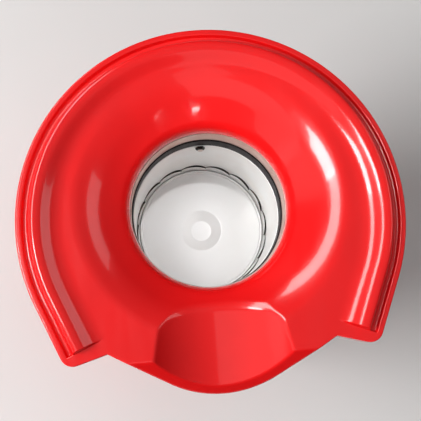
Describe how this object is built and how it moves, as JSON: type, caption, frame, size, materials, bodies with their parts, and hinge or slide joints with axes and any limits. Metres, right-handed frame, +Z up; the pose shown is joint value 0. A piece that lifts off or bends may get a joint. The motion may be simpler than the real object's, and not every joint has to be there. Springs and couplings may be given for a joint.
{
  "type": "hot air popcorn popper base",
  "caption": "Hot-air popcorn popper without its hood: red tray with a bell funnel and pouring scoop over a louvred popping chamber, on a round waisted body.",
  "frame": {"origin": "On the ground under the middle of the object's footprint, which is the body's axis; the popping chamber's axis stands 4 mm behind it.", "axes": "+Z up out of the popping chamber; -Y towards the pouring scoop; +X to the right, on the switch's side."},
  "size_m": [0.238, 0.226, 0.2195],
  "materials": {
    "red_plastic": "glossy injection-moulded plastic",
    "dark_plastic": "matt moulded plastic",
    "phenolic": "dark heat-proof moulding",
    "rubber": "soft matt rubber",
    "aluminium": "drawn sheet, satin",
    "steel": "zinc-plated sheet",
    "screw_steel": "plated",
    "mica": "mica sheet",
    "heater_wire": "oxidised resistance wire",
    "brass": "plain brass",
    "magnet": "ferrite",
    "armature_wire": "laminated iron with copper winding",
    "fan_plastic": "heat-proof moulding",
    "circuit_board": "lacquered board",
    "wire_sleeve": "woven glass sleeve",
    "ceramic": "glazed ceramic"
  },
  "bodies": {
    "housing": {"top_shell": "red_plastic", "body_shell": "red_plastic", "base_plate": "dark_plastic", "foot_front_right": "rubber", "foot_front_left": "rubber", "foot_rear_left": "rubber", "foot_rear_right": "rubber", "base_screws": "screw_steel", "housing_screws": "screw_steel", "chamber_collar": "aluminium", "insulating_ring": "phenolic", "chamber_wall": "aluminium", "chamber_floor": "aluminium", "retaining_clip": "dark_plastic", "clip_screw": "screw_steel", "chamber_screws": "screw_steel", "heat_shroud": "steel", "shroud_screws": "screw_steel", "thermostat": "brass", "thermal_fuse": "ceramic", "heater_frame": "mica", "heater_coil": "heater_wire", "motor_plate": "steel", "motor_can": "steel", "motor_magnets": "magnet", "motor_end_cap": "dark_plastic", "upper_bush": "brass", "lower_bush": "brass", "motor_screws": "screw_steel", "rectifier_board": "circuit_board", "wiring": "wire_sleeve", "cord_gland": "dark_plastic", "switch_bezel": "dark_plastic", "switch_terminals": "brass"},
    "fan_rotor": {"armature": "armature_wire", "motor_shaft": "steel", "impeller": "fan_plastic"},
    "rocker": {"switch_rocker": "red_plastic"}
  },
  "joints": [
    {"name": "fan_spin", "type": "hinge", "parent": "housing", "child": "fan_rotor", "pos_m": [0, 0.004, 0.06], "axis": [0, 0, 1], "continuous": true},
    {"name": "switch_tilt", "type": "hinge", "parent": "housing", "child": "rocker", "pos_m": [0.08177, 0, 0.042], "axis": [0, -1, 0], "range_deg": [0, 18]}
  ]
}
